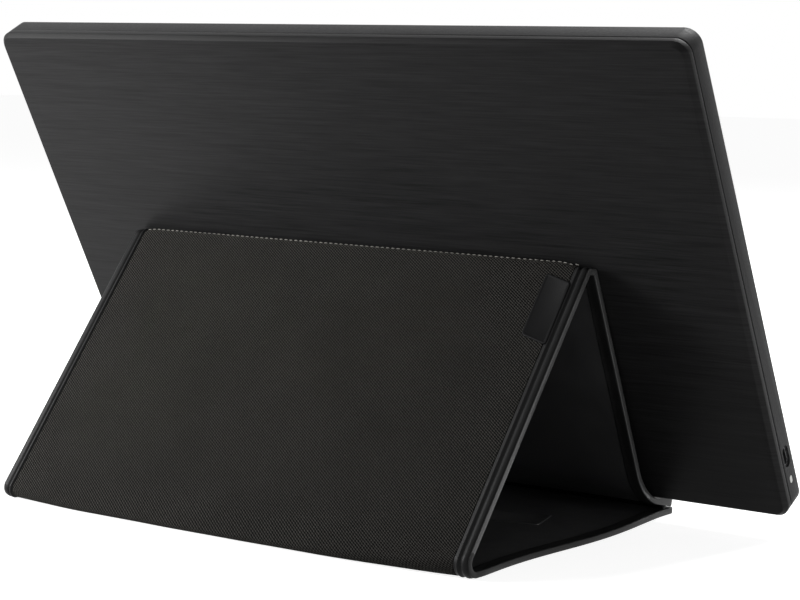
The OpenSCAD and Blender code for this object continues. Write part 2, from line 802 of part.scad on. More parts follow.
module base_magnets() {
    color("#a9adb0") at_base_magnets(stiff_d) magnet_row(lining_d - stiff_d);
}

module ledge_magnets() {
    color("#a9adb0") at_ledge_magnets(stiff_d) magnet_row(lining_d - stiff_d);
}

// The bare leather tab beside the binding, just below the crest.
module label_tab() {
    x0 = cover_x - cover_w / 2 + bind_w;
    s1 = rear_len - label_drop;
    section = [
        rear_at(s1 - label_l, skin_d), rear_at(s1, skin_d),
        rear_at(s1, skin_d - label_t), rear_at(s1 - label_l, skin_d - label_t)
    ];
    color("#141416") across(section, x0, x0 + label_w);
}

// The tab sewn flat to the base's lining, a little aslant, inside the open side.
module lining_tab() {
    p = base_at(lining_tab_back, inner_d);
    color("#1b1b1e") translate([cover_x - cover_w / 2 + lining_tab_in, p[0], p[1]])
        rotate([0, 0, -lining_tab_turn]) translate([-lining_tab_l / 2, -lining_tab_w / 2, 0])
            cube([lining_tab_l, lining_tab_w, lining_tab_t]);
}

front_bezel();
back_cover();
lcd_panel();
diffuser_stack();
light_guide();
reflector_sheet();
led_strip();
backlight_tray();
tray_screws();
driver_board();
board_screws();
board_shield();
panel_cable();
usb_port();
port_tongue();
side_light_lens();
power_button();
button_board();
button_switch();
power_light_lens();
rear_skin();
rear_board();
rear_lining();
rear_bindings();
base_skin();
base_board();
base_lining();
base_bindings();
support_skin();
support_board();
support_lining();
support_bindings();
ledge_skin();
ledge_board();
ledge_lining();
ledge_bindings();
base_magnets();
ledge_magnets();
label_tab();
lining_tab();
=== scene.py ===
# %% [markdown]
# # A portable monitor on its folding cover
#
# The object is a slim 15.6-inch monitor that leans on a cover folded into a triangle. The cover
# is one long strip of four stiff panels in woven cloth, lined with smooth leather and bound
# round its edges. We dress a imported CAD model: hard parts keep their exact shape and get edges
# and finishes, and every soft part is made anew, as cloth and leather that are cut flat and
# then laid along the strip's folds. The object's lengths below are millimetres until a point is
# made, because that is how such a thing is drawn; the studio is in metres. Left and right are as
# the photograph shows them, from behind.

from math import cos, pi, radians, sin, tan

import bmesh
import bpy
from mathutils import Matrix, Vector, noise


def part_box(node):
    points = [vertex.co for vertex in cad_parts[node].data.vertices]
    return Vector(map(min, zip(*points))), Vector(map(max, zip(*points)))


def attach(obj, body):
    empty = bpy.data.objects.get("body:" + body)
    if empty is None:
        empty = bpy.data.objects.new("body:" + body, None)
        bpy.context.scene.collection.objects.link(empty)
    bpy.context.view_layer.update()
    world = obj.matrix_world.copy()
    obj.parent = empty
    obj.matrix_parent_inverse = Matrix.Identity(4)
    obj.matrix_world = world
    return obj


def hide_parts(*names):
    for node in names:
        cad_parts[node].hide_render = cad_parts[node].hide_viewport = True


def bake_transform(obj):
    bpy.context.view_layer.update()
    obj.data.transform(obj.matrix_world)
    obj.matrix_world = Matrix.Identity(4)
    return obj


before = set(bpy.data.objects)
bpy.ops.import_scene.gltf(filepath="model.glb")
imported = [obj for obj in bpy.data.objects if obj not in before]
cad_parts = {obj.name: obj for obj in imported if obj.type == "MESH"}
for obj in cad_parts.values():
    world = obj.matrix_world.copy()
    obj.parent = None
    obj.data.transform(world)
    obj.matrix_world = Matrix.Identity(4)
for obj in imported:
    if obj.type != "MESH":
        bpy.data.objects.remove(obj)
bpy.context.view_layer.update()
MM = 0.001

# %% [markdown]
# ## The camera
#
# The photograph was taken from behind the monitor, to its left, a little above the table. The
# camera's place comes from the straight edges of the case, whose real size is known: each edge
# gives a line in the picture, and one camera fits them all. A slight roll belongs to it.

# %% Camera
azimuth, pitch, roll = radians(215.66), radians(6.52), radians(0.91)
toward_eye = Vector((sin(azimuth) * cos(pitch), -cos(azimuth) * cos(pitch), sin(pitch)))
level = (-toward_eye).cross(Vector((0, 0, 1))).normalized()
upright = level.cross(-toward_eye)
eye_right = level * cos(roll) + upright * sin(roll)
eye_up = upright * cos(roll) - level * sin(roll)

camera = bpy.data.objects.new("camera", bpy.data.cameras.new("camera"))
bpy.context.scene.collection.objects.link(camera)
camera.matrix_world = Matrix((eye_right, eye_up, toward_eye)).transposed().to_4x4()
camera.location = Vector((-607.52, 808.24, 213.65)) * MM
camera.data.sensor_width = 36
camera.data.lens = 98.87
camera.data.clip_start = 0.05
bpy.context.scene.camera = camera
print("camera at", [round(c, 3) for c in camera.location], "lens", camera.data.lens)

# %% [markdown]
# ## Material helpers
#
# Every finish here is a small node tree round one Principled shader. Three helpers keep them
# readable: one starts a material, one adds a node with its inputs, and one feeds a height into
# the shader's normal. Fixed numbers are set on the sockets themselves.

# %% Start a material, add a node, add a bump
def start_finish(name, colour, roughness, metallic=0.0, specular=0.5):
    material = bpy.data.materials.new(name)
    material.use_nodes = True
    shader = material.node_tree.nodes["Principled BSDF"]
    shader.inputs["Base Color"].default_value = (*colour, 1)
    shader.inputs["Roughness"].default_value = roughness
    shader.inputs["Metallic"].default_value = metallic
    shader.inputs["Specular IOR Level"].default_value = specular
    return material, shader


def add(material, kind, sockets=None, **settings):
    """A new node. Each socket gets a number, a colour, or another node's output."""
    node = material.node_tree.nodes.new(kind)
    for key, value in settings.items():
        setattr(node, key, value)
    for key, value in (sockets or {}).items():
        if isinstance(value, bpy.types.NodeSocket):
            material.node_tree.links.new(value, node.inputs[key])
        else:
            node.inputs[key].default_value = value
    return node


def maths(material, operation, first, second=0.0):
    return add(material, "ShaderNodeMath", {0: first, 1: second}, operation=operation).outputs[0]


def spread(material, value, low, high, out_low, out_high):
    """Maps a value from one range to another, held inside the second."""
    return add(material, "ShaderNodeMapRange", {
        "Value": value, "From Min": low, "From Max": high, "To Min": out_low, "To Max": out_high,
    }).outputs[0]


def shade(material, share, dark, light):
    """A colour between two, by a share from 0 to 1."""
    ramp = add(material, "ShaderNodeValToRGB", {"Fac": share})
    ramp.color_ramp.elements[0].color = (*dark, 1)
    ramp.color_ramp.elements[1].color = (*light, 1)
    return ramp.outputs["Color"]


def emboss(material, shader, height, depth, strength=1.0, base=None):
    """Feeds a height to the shader's normal. `depth` is the relief's, in millimetres."""
    bump = add(material, "ShaderNodeBump",
               {"Height": height, "Distance": depth * MM, "Strength": strength})
    if base is not None:
        material.node_tree.links.new(base.outputs[0], bump.inputs["Normal"])
    material.node_tree.links.new(bump.outputs[0], shader.inputs["Normal"])
    return bump


def feed(material, output, socket):
    material.node_tree.links.new(output, socket)


def place_pattern(material, scale=(1, 1, 1), turn=(0, 0, 0), source="Object"):
    """The piece's own coordinates, in metres, stretched and then turned."""
    coordinates = add(material, "ShaderNodeTexCoord")
    return add(material, "ShaderNodeMapping", {
        "Vector": coordinates.outputs[source], "Rotation": turn, "Scale": scale,
    }).outputs[0]


def grain(material, where, scale, detail=4.0, rough=0.55):
    """Noise, with about `scale` cells in a metre."""
    return add(material, "ShaderNodeTexNoise", {
        "Vector": where, "Scale": scale, "Detail": detail, "Roughness": rough,
    }).outputs["Fac"]

# %% [markdown]
# ## The cloth: a brown-black twill
#
# Twill shows fine diagonal ribs, because each thread goes over two and under two, one step
# further along in every row. The ribs have to follow the cloth round its folds, so the pattern
# reads the UV map, in which one unit is one metre of flat cloth. Three sets of stripes make it:
# the ribs, the single threads that cross them, and a finer, fainter set between.

# %% Twill
RIBS = (0.556, -0.853)


def make_twill():
    material, shader = start_finish("woven_twill", (0.03, 0.028, 0.024), 0.85, specular=0.05)
    cloth = place_pattern(material, source="UV")
    wobble = spread(material, grain(material, cloth, 700, 2), 0.2, 0.8, -0.9, 0.9)

    def stripes(across, along):
        """Waves with so many ribs per millimetre across and along the cloth."""
        turns = add(material, "ShaderNodeVectorMath", {
            0: cloth, 1: (2 * pi * across / MM, 2 * pi * along / MM, 0),
        }, operation="DOT_PRODUCT").outputs["Value"]
        return maths(material, "SINE", maths(material, "ADD", turns, wobble))

    ribs = stripes(*RIBS)
    threads = stripes(0.634, 0.19)
    fine = stripes(0.9, 1.9)
    weave = maths(material, "ADD", ribs, maths(material, "MULTIPLY", threads, 0.55))
    height = maths(material, "ADD", weave, maths(material, "MULTIPLY", fine, 0.3))
    share = spread(material, height, -0.5, 0.8, 0, 1)
    cloud = spread(material, grain(material, cloth, 30, 3), 0.3, 0.7, 0.82, 1.0)
    feed(material, shade(material, maths(material, "MULTIPLY", share, cloud),
                         (0.0008, 0.0008, 0.0007), (0.045, 0.0432, 0.04)),
         shader.inputs["Base Color"])
    feed(material, spread(material, share, 0, 1, 0.95, 0.75), shader.inputs["Roughness"])
    shader.inputs["Sheen Weight"].default_value = 0.02
    shader.inputs["Sheen Roughness"].default_value = 0.5
    shader.inputs["Sheen Tint"].default_value = (0.9, 0.85, 0.75, 1)
    emboss(material, shader, height, 0.1, 0.9)
    return material


twill = make_twill()
print("twill ribs", round(1 / Vector(RIBS).length, 2), "mm apart")

# %% [markdown]
# ## The leathers
#
# The binding is a fine-grained black leather. Its rims are smoother, and come in a lit and a
# shaded copy: where a standing panel shows its edge to the light, the polished rim is painted
# lighter, a painted highlight; low down, where the leather is only folded, it is painted darker
# and duller, a painted shade. The lining has a softer shine and faint, wide waves, and the label
# tab is darker than the binding. Grain is small cells with fine creases between them, which is
# what a Voronoi texture's distance gives. The numbers after the two colours are the roughness,
# the size of a cell, the depth of the grain and, for the lining, the depth of its waves.

# %% Leathers
def make_leather(name, colour, light, roughness, cell, depth, wave=0.0, specular=0.1):
    material, shader = start_finish(name, colour, roughness, specular=specular)
    where = place_pattern(material)
    cells = add(material, "ShaderNodeTexVoronoi", {"Vector": where, "Scale": 1 / (cell * MM)},
                feature="SMOOTH_F1").outputs["Distance"]
    fine = grain(material, where, 2200, 3)
    height = maths(material, "ADD", cells, maths(material, "MULTIPLY", fine, 0.5))
    patches = grain(material, where, 60, 3)
    feed(material, shade(material, patches, colour, light), shader.inputs["Base Color"])
    feed(material, spread(material, patches, 0.3, 0.7, roughness - 0.06, roughness + 0.08),
         shader.inputs["Roughness"])
    first = None
    if wave:
        first = emboss(material, shader, grain(material, where, 26, 2), wave, 1.0)
    emboss(material, shader, height, depth, 0.6, first)
    return material


binding_leather = make_leather("binding_leather", (0.006, 0.006, 0.0062),
                               (0.014, 0.014, 0.0142), 0.42, 0.7, 0.05)
# The two rim leathers are lit and shaded copies: the lighter one is a painted highlight on the
# standing rims, the darker one a painted shade on the low rims and the free ends.
polished_rim_painted_highlight = make_leather("polished_edge_painted_highlight", (0.046, 0.046, 0.046), (0.074, 0.074, 0.074),
                          0.35, 0.5, 0.02, specular=0.35)
folded_rim_painted_shade = make_leather("folded_rim_painted_shade", (0.011, 0.011, 0.011), (0.024, 0.024, 0.024),
                          0.4, 0.6, 0.04, specular=0.12)
lining_leather = make_leather("lining_leather", (0.03, 0.03, 0.031), (0.042, 0.042, 0.043),
                              0.45, 0.5, 0.02, 0.9, specular=0.4)
tab_leather = make_leather("tab_leather", (0.004, 0.004, 0.0042), (0.007, 0.007, 0.0073),
                           0.5, 0.6, 0.04, specular=0.07)
print("leathers: binding, polished edge, folded rim, lining and tab")

# %% [markdown]
# ## The plastics and the brushed back
#
# The back face is black plastic with fine lines brushed across it from side to side. They are
# level, so the noise is packed tightly in height and left long in the other directions. The turn
# by the lean comes after that, and only picks another cut through the noise. The brushing
# changes the roughness and the normal as well as the colour. The bezel is nearly the same
# black, with a fine spark-eroded texture.

# %% Brushed back and matte bezel
LEAN = radians(27.8)


def make_brushed():
    material, shader = start_finish("brushed_back", (0.02, 0.02, 0.0205), 0.42, specular=0.04)
    where = place_pattern(material, (40, 40, 1800), (LEAN, 0, 0))
    lines = grain(material, where, 1.0, 5, 0.6)
    broad = grain(material, place_pattern(material, (14, 14, 700), (LEAN, 0, 0)), 1.0, 3)
    both = maths(material, "ADD", lines, maths(material, "MULTIPLY", broad, 0.5))
    feed(material, shade(material, spread(material, both, 0.5, 1.0, 0, 1),
                         (0.0095, 0.0095, 0.0096), (0.021, 0.021, 0.0214)),
         shader.inputs["Base Color"])
    feed(material, spread(material, both, 0.5, 1.0, 0.34, 0.5), shader.inputs["Roughness"])
    emboss(material, shader, lines, 0.04, 0.5)
    return material


def make_moulded(name, colour, roughness, scale=1800, depth=0.03, metallic=0.0, change=0.25,
                 specular=0.3):
    """A moulded or plated finish: a fine even grain, and a little change in tone."""
    material, shader = start_finish(name, colour, roughness, metallic, specular)
    where = place_pattern(material)
    fine = grain(material, where, scale, 2)
    tone = grain(material, where, 45, 3)
    dark = [c * (1 - change) for c in colour]
    light = [min(1, c * (1 + change)) for c in colour]
    feed(material, shade(material, spread(material, tone, 0.3, 0.7, 0, 1), dark, light),
         shader.inputs["Base Color"])
    feed(material, spread(material, fine, 0.3, 0.7, max(0.02, roughness - 0.06), roughness + 0.06),
         shader.inputs["Roughness"])
    emboss(material, shader, fine, depth, 0.5)
    return material


brushed_back = make_brushed()
matte_bezel = make_moulded("matte_bezel", (0.02, 0.02, 0.0205), 0.5, 1000, 0.16, change=0.12,
                           specular=0.07)
print("brushed back and matte bezel")

# %% [markdown]
# ## The monitor's own frame
#
# The monitor is drawn upright and then leans back, so it helps to have one function that takes
# a point of the table's frame to the monitor's own: across, deep, and up the screen.

# %% A point on the monitor
case_w, case_h, bezel_d, case_d = 382.2, 235.9, 9.3, 13.9
CASE_FOOT = Vector((0, -83.081, 15.415))
deep = Vector((0, cos(LEAN), -sin(LEAN)))
up_screen = Vector((0, sin(LEAN), cos(LEAN)))


def case_coordinates(point):
    """(across, deep, up the screen) in millimetres, of a point in metres."""
    from_foot = point / MM - CASE_FOOT
    return from_foot.x, from_foot.dot(deep), from_foot.dot(up_screen)


low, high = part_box("back_cover")
print("back cover, mm:", [round(c / MM, 1) for c in low], [round(c / MM, 1) for c in high])

# %% [markdown]
# ## The case: back cover and bezel with rounded edges
#
# Real mouldings have no knife edges: a quarter of a millimetre of rounding on each outer edge
# catches the light, and where bezel and back cover meet, the two roundings make the parting
# line. The exact shapes are there in the CAD parts, so each piece starts from a merged copy,
# its flat triangles are dissolved into whole faces, and only the outer edges are bevelled. The
# bezel's rear rim is moved forward a little, which opens the parting line.

# %% Two mouldings
weld, near, chamfer, parting = 0.004, 0.1, 1.9, 0.55


def link_piece(name, bm, materials, smooth=radians(40)):
    """Ends a bmesh: shaded softly, but sharp at its cuts and where it turns by more."""
    for face in bm.faces:
        face.smooth = True
    for edge in bm.edges:
        turns = len(edge.link_faces) == 2 and edge.calc_face_angle() > smooth
        edge.smooth = not (edge.is_boundary or turns)
    mesh = bpy.data.meshes.new(name)
    bm.to_mesh(mesh)
    bm.free()
    for material in materials:
        mesh.materials.append(material)
    piece = bpy.data.objects.new(name, mesh)
    bpy.context.scene.collection.objects.link(piece)
    return piece


def rounded_copy(node, name, width, material, keep, gap=0.0):
    """A CAD shell with its kept edges rounded. `keep` takes a place in the case's own frame."""
    bm = bmesh.new()
    bm.from_mesh(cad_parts[node].data)
    bmesh.ops.remove_doubles(bm, verts=bm.verts, dist=weld * MM)
    bmesh.ops.dissolve_limit(bm, angle_limit=radians(0.4), verts=bm.verts[:], edges=bm.edges[:])
    seam = []
    for vert in bm.verts:
        across, into, up = case_coordinates(vert.co)
        if abs(into - bezel_d) < near and on_rim(across, up, 0.2):
            seam.append(vert)
    bmesh.ops.translate(bm, verts=seam, vec=-deep * gap * MM)
    edges = [e for e in bm.edges if len(e.link_faces) == 2
             and e.calc_face_angle() > radians(25)
             and all(keep(*case_coordinates(v.co)) for v in e.verts)]
    bmesh.ops.bevel(bm, geom=edges, offset=width * MM, segments=3, profile=0.5,
                    affect="EDGES", material=-1, clamp_overlap=True)
    piece = link_piece(name, bm, [material])
    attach(piece, "monitor")
    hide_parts(node)
    print(name, "bevelled edges:", len(edges), "faces:", len(piece.data.polygons))
    return piece


def on_rim(across, up, reach=0.6):
    """True within `reach` of the case's outline, its rounded corners included."""
    corner = 7.0
    dx = max(0.0, abs(across) - (case_w / 2 - corner))
    dz = max(0.0, abs(up - case_h / 2) - (case_h / 2 - corner))
    if dx > 0 and dz > 0:
        return (dx * dx + dz * dz) ** 0.5 > corner - reach
    return max(dx, dz) > corner - reach


def back_edge(across, into, up):
    """The back cover's outer edges: its front rim, and both edges of the chamfer."""
    return into > bezel_d - near and on_rim(across, up, chamfer + 0.5) and (
        into > case_d - near or on_rim(across, up))


def bezel_edge(across, into, up):
    """The bezel's outer edges, at the front and at the parting line."""
    return on_rim(across, up) and (into < near or into > bezel_d - parting - 0.25)


back_shell = rounded_copy("back_cover", "back_shell", 0.25, brushed_back, back_edge)
bezel_shell = rounded_copy("front_bezel", "bezel_shell", 0.3, matte_bezel, bezel_edge,
                           gap=parting)

# %% [markdown]
# ## The path of the strip
#
# Laid flat, the cover is one strip. We walk along it from the base's free end: along the table,
# round the front fold, up the rear panel, over the crest, down the support, round the soft bend
# and out to the ledge's tip. `walk` gives the place and the heading after a walk of t
# millimetres, on the strip's outer face. Each fold takes the place of a sharp corner, and begins
# and ends at its `half` from that corner. Its radius may change across the strip: the cloth
# creases sharply in the middle, and the stiffer bindings keep the ends rounder. At the right
# side the crest's binding is folded square, with a small flat cap.

# %% Walk along the strip
left_edge, right_edge = 140.0, -124.0
middle_x = (left_edge + right_edge) / 2
front_turn = pi - radians(51.5)
crest_turn = pi - radians(62.9)
bend_turn = radians(65.6) - radians(13)
rear_len, base_len, support_len, ledge_len, bend_r = 160.7, 179.246, 111.5, 14.4, 27.0
panel_t = 2.9
front_corner_y = 90.8
free_end_y = front_corner_y - base_len
front_half, crest_half = 16.0, 11.0
front_walk, crest_walk = 26.0, 18.0
stations = [0.0]
for length in (base_len - front_half, front_walk, rear_len - front_half - crest_half, crest_walk,
               support_len - crest_half, bend_r * bend_turn, ledge_len):
    stations.append(stations[-1] + length)
START, FRONT, REAR, CREST, SUPPORT, BEND, LEDGE, TIP = stations


def ease(value):
    """Goes softly from 0 to 1 while the value does."""
    value = min(1.0, max(0.0, value))
    return value * value * (3 - 2 * value)


def front_radius(x):
    """The front fold's outer radius: sharp in the cloth, rounder towards both edges."""
    sharpest, radius = 30.0, 1.6
    if x > sharpest:
        return radius + 3.0 * ((x - sharpest) / (left_edge - sharpest)) ** 3
    return radius + 4.9 * ((sharpest - x) / (sharpest - right_edge)) ** 3


def lining_radius(x):
    """The same fold, for the lining, which has no sharp crease."""
    tighter_from = left_edge - 30
    return 6.5 - 1.9 * ease((x - tighter_from) / 30)


def crest_radius(x):
    return 3.6 + 1.0 * ease((x - left_edge + 12) / 10)


def squareness(x):
    """0 where the crest is round, 1 at the right edge, where the binding folds it square."""
    return ease((right_edge + 17 - x) / 15)


def heading_at(angle):
    return Vector((0, cos(angle), sin(angle)))


def round_corner(share, half, turn, radius):
    """Distance along and across, and turn, after a share of a corner: straight, arc, straight."""
    run = radius * tan(turn / 2)
    flat, arc = half - run, radius * turn
    gone = share * (2 * flat + arc)
    if gone <= flat:
        return gone, 0.0, 0.0
    if gone < flat + arc:
        a = (gone - flat) / radius
        return flat + radius * sin(a), radius * (1 - cos(a)), a
    left = gone - flat - arc + run
    return half + left * cos(turn), left * sin(turn), turn


def square_corner(share, half, turn, radius, drop):
    """As round_corner, but with a flat cap that lies `drop` below the sharp corner."""
    side, cap = drop / sin(turn / 2), 2 * drop / tan(turn / 2)
    knee = cap / 2
    point, angle = Vector((half - side - knee, 0)), 0.0
    total = half - side - knee
    gone = share * (2 * total + 4 * knee)
    if gone <= total:
        return gone, 0.0, 0.0
    gone -= total
    for _ in range(2):
        bend = min(1.0, gone / (2 * knee))
        along, across, turned = round_corner(bend, knee, turn / 2, radius)
        c, s = cos(angle), sin(angle)
        place = point + Vector((along * c - across * s, along * s + across * c))
        if bend < 1:
            return place.x, place.y, angle + turned
        point, angle, gone = place, angle + turned, gone - 2 * knee
    return point.x + gone * cos(turn), point.y + gone * sin(turn), turn


def fold_corner(share, half, turn, radius, square):
    """A blend of the two corners: round at square 0, with a flat cap at square 1."""
    cap_radius, cap_drop = 1.9, 5.3
    along, across, turned = round_corner(share, half, turn, radius)
    if square <= 0:
        return along, across, turned
    a, b, c = square_corner(share, half, turn, cap_radius, cap_drop)
    return (along + (a - along) * square, across + (b - across) * square,
            turned + (c - turned) * square)


def walk(t, x, front=front_radius):
    """(point at depth 0, heading angle) in millimetres, in the plane across x."""
    point, angle = Vector((0, free_end_y, 0)), 0.0
    legs = [
        (START, FRONT, None, 0, 0),
        (FRONT, REAR, front(x), front_half, front_turn),
        (REAR, CREST, None, 0, 0),
        (CREST, SUPPORT, crest_radius(x), crest_half, crest_turn),
        (SUPPORT, BEND, None, 0, 0),
        (BEND, LEDGE, bend_r, 0, -bend_turn),
        (LEDGE, TIP + 10, None, 0, 0),
    ]
    for begin, end, radius, half, turn in legs:
        ahead = heading_at(angle)
        aside = heading_at(angle + pi / 2)
        share = (t - begin) / (end - begin)
        if radius is None:
            if share <= 1:
                return point + ahead * (t - begin), angle
            point = point + ahead * (end - begin)
        elif half:
            square = squareness(x) if begin == CREST else 0.0
            along, across, turned = fold_corner(min(share, 1.0), half, turn, radius, square)
            if share <= 1:
                return point + ahead * along + aside * across, angle + turned
            point = point + ahead * along + aside * across
            angle += turn
        else:
            turned = turn * min(share, 1.0)
            place = point + ahead * radius * sin(-turned) - aside * radius * (1 - cos(turned))
            if share <= 1:
                return place, angle + turned
            point, angle = place, angle + turn
    return point, angle


def base_wave(t, x):
    """The base's right edge isn't straight: it swells out by a few millimetres."""
    height, shift, wavelength = 2.0, -1.2, 140
    y = t + free_end_y
    window = ease((y + 84) / 16) * ease((80 - y) / 14)
    swell = height * sin(2 * pi * (y - 12) / wavelength) + shift
    return swell * window * ease((right_edge + 34 - x) / 30)


def lay(t, x, depth, front=front_radius):
    """The point of the strip, in metres, at walk t, at x, and at a depth under its outer face.

    The ledge is a little fuller than the panels, on its outer face.
    """
    fullness, fuller_from = 1.3, LEDGE - 0.5
    if t > fuller_from:
        depth -= fullness * ease((t - fuller_from) / 3.5) * max(0.0, 1 - depth / panel_t)
    point, angle = walk(t, x, front)
    place = point + heading_at(angle + pi / 2) * depth
    sideways = base_wave(t, x) if t < FRONT + 10 else 0.0
    return Vector((x + sideways, place.y, max(place.z, 0.0))) * MM


tip_place = walk(TIP, 0)[0]
print("tip of the ledge, mm:", [round(c, 1) for c in tip_place], "walk", round(TIP, 1))

# %% [markdown]
# ## Cloth and lining, cut flat and folded
#
# A grid is the natural start for cloth: flat, evenly divided, with a UV map that is its own
# flat shape. Each of its points is then laid at its place on the folded strip. The rows are
# close together where the strip bends or ends, and wide apart where it is flat. A Solidify
# modifier gives it its thickness, inward. The strip is cut into pieces where a joint needs it,
# always on a flat part, so that the cut doesn't show.

# %% Lay a sheet along the strip
END_ROUND = 3.0


def row_step(t):
    """Rows are closest at the rounded ends, close in the folds, wide on the flat panels."""
    if t < START + END_ROUND or t >= TIP - END_ROUND - 0.01:
        return 0.35
    if FRONT - 1 <= t < REAR or CREST - 1 <= t < SUPPORT:
        return 0.8
    return 1.6 if BEND - 1 <= t < LEDGE else 5.0


def rows_between(t0, t1):
    """Row positions, with one at every place where the strip changes."""
    rows, t, tiny = [t0], t0, 1e-6
    while t < t1 - tiny:
        changes = (FRONT, REAR, CREST, SUPPORT, BEND, LEDGE, TIP - END_ROUND, t1)
        t = min([t + row_step(t)] + [change for change in changes if change > t + tiny])
        rows.append(t)
    return rows


def ripple(x, t, size):
    """A gentle unevenness of the surface, in millimetres."""
    return size * noise.noise(Vector((x / 38, t / 30, 1.7)))


def columns_between(x0, x1, count):
    """Column positions, closer together towards the two edges."""
    return [x0 + (x1 - x0) * (0.5 - 0.5 * cos(pi * i / count)) * 0.25
            + (x1 - x0) * (i / count) * 0.75 for i in range(count + 1)]


def lay_sheet(name, t0, t1, x0, x1, depth, thickness, material, uneven, front):
    columns, calm_edge = 72, 12
    rows, across = rows_between(t0, t1), columns_between(x0, x1, columns)
    bm = bmesh.new()
    bmesh.ops.create_grid(bm, x_segments=columns, y_segments=len(rows) - 1, size=0.5)
    flat = bm.loops.layers.uv.new("UVMap")
    for face in bm.faces:
        for loop in face.loops:
            i = round((loop.vert.co.x + 0.5) * columns)
            j = round((loop.vert.co.y + 0.5) * (len(rows) - 1))
            loop[flat].uv = (across[i] * MM, rows[j] * MM)
    for vert in bm.verts:
        x = across[round((vert.co.x + 0.5) * columns)]
        t = rows[round((vert.co.y + 0.5) * (len(rows) - 1))]
        calm = ease((x - x0) / calm_edge) * ease((x1 - x) / calm_edge)
        vert.co = lay(t, x, depth - calm * ripple(x, t, uneven), front)
    bm.normal_update()
    t_first = rows[0] + 0.1
    spot = lay(t_first, middle_x, depth)
    outward = heading_at(walk(t_first, middle_x)[1] - pi / 2)
    first = min(bm.faces, key=lambda f: (f.calc_center_median() - spot).length)
    if first.normal.dot(outward) < 0:
        bmesh.ops.reverse_faces(bm, faces=bm.faces[:])
    piece = link_piece(name, bm, [material], radians(60))
    shell = piece.modifiers.new("thickness", "SOLIDIFY")
    shell.thickness = thickness * MM
    shell.offset = -1
    print(name, "rows", len(rows), "faces", len(piece.data.polygons))
    return piece

# %% [markdown]
# ## The woven skin in four pieces
#
# The skin's pieces are: the base's underside; the rear panel with the front fold; the crest; and
# the support with the bend and the ledge. The base's piece moves with the base panel; for the
# others, `crossing` lays two places on the walk and then only bakes the piece's transform.

# %% Woven skin
BASE_CUT, REAR_CUT, SUPPORT_CUT = FRONT - 3.0, CREST - 5.0, SUPPORT + 6.0
skin_left, skin_right, skin_depth = left_edge - 6.2, right_edge + 7.6, 0.3
boards = {"base": ["base_board"], "rear": ["rear_board"],
          "crest": ["rear_board", "support_board"],
          "support": ["support_board", "ledge_board"]}


def crossing(piece, t_before, t_after):
    """Bakes the piece's transform into its mesh; the two places on the walk are laid, but not
    used.
    """
    mid_depth = 1.4
    lay(t_before, middle_x, mid_depth)
    lay(t_after, middle_x, mid_depth)
    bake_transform(piece)


def move_with_panels(pieces):
    """Base, rear, crest and support pieces of one layer, in that order."""
    base, rear, crest, support = pieces
    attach(base, "base_panel")
    crossing(rear, FRONT + 2, REAR - 2)
    crossing(crest, CREST + 2, SUPPORT - 2)
    crossing(support, LEDGE - 4.5, LEDGE + 1.5)


def four_sheets(layer, x0, x1, depth, thickness, material, uneven, front, end_inset):
    """One layer of the cover, as four sheets from the free end to the ledge's tip."""
    cuts = [START + end_inset, BASE_CUT, REAR_CUT, SUPPORT_CUT, TIP - end_inset]
    pieces = []
    for i, panel in enumerate(boards):
        piece = lay_sheet(f"{panel}_{layer}", cuts[i], cuts[i + 1], x0, x1, depth, thickness,
                          material, uneven, front)
        line = [lay(t, middle_x, depth, front) for t in rows_between(cuts[i], cuts[i + 1])]
        pieces.append(piece)
    return pieces


skins = four_sheets("weave", skin_right, skin_left, skin_depth, thickness=0.7, material=twill,
                    uneven=0.22, front=front_radius, end_inset=5.0)
move_with_panels(skins)
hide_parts("base_skin")
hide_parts("rear_skin")
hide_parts("support_skin", "ledge_skin")

# %% [markdown]
# ## The lining
#
# The same walk at a greater depth gives the lining, turned to face inward. It has no sharp
# crease: at the front fold it follows a rounder path than the cloth. Its waves are a little
# deeper than the skin's, as the photograph shows on the base.

# %% Lining
linings = four_sheets("inner", right_edge + 5.4, left_edge - 5.4, 2.0, thickness=0.5,
                      material=lining_leather, uneven=0.25, front=lining_radius, end_inset=5.4)
move_with_panels(linings)
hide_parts("base_lining")
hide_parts("rear_lining")
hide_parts("support_lining", "ledge_lining")

# %% [markdown]
# ## The bindings
#
# A binding is a leather strip folded round the panel's edge and sewn down. Its cross-section is
# a ring of (distance from the edge, depth) pairs: an outer face with a ridge, a groove and a
# crowned band, the rounded rim, and an inner face that ends in a small ridge. `near` is the right
# edge, towards the camera, and `far` the left one. A grid whose first and last columns meet is
# swept along the walk, merged into a tube, and closed at both ends. The rims of the standing
# panels are polished and painted lighter, a painted highlight; low down and along the base they
# are only folded, and painted darker, a painted shade.

# %% Sweep a ring along the strip
inner_face = [(0.0, 2.45), (0.12, 2.7), (0.5, 2.86), (1.2, 2.92), (2.6, 2.8), (4.5, 2.78),
              (5.1, 3.02), (5.6, 3.04), (5.95, 2.75), (6.0, 2.45), (5.4, 2.1), (1.8, 1.7),
              (1.8, 1.15)]
near_ring = [(7.4, 0.6), (7.15, 0.32), (6.8, 0.3), (6.3, 0.3), (6.05, 0.12), (5.8, -0.08),
             (5.5, -0.16), (5.2, -0.08), (4.95, 0.2), (4.6, 0.6), (4.1, 0.7), (3.75, 0.5),
             (3.4, 0.02), (2.9, -0.22), (2.3, -0.3), (1.6, -0.2), (1.15, 0.02), (0.9, 0.42),
             (0.7, 0.55), (0.5, 0.42), (0.3, 0.1), (0.12, 0.08),
             (0.0, 0.3)] + inner_face + [(7.2, 0.95)]
far_ring = [(6.9, 0.6), (6.6, 0.55), (6.1, 0.6), (5.75, 0.3), (5.5, -0.2), (5.1, -0.4),
            (4.7, -0.36), (4.35, -0.1), (4.1, 0.4), (3.7, 0.45), (3.3, 0.1), (2.8, -0.12),
            (1.9, -0.2), (0.8, -0.05), (0.2, 0.15), (0.0, 0.4)] + inner_face + [(6.8, 0.95)]


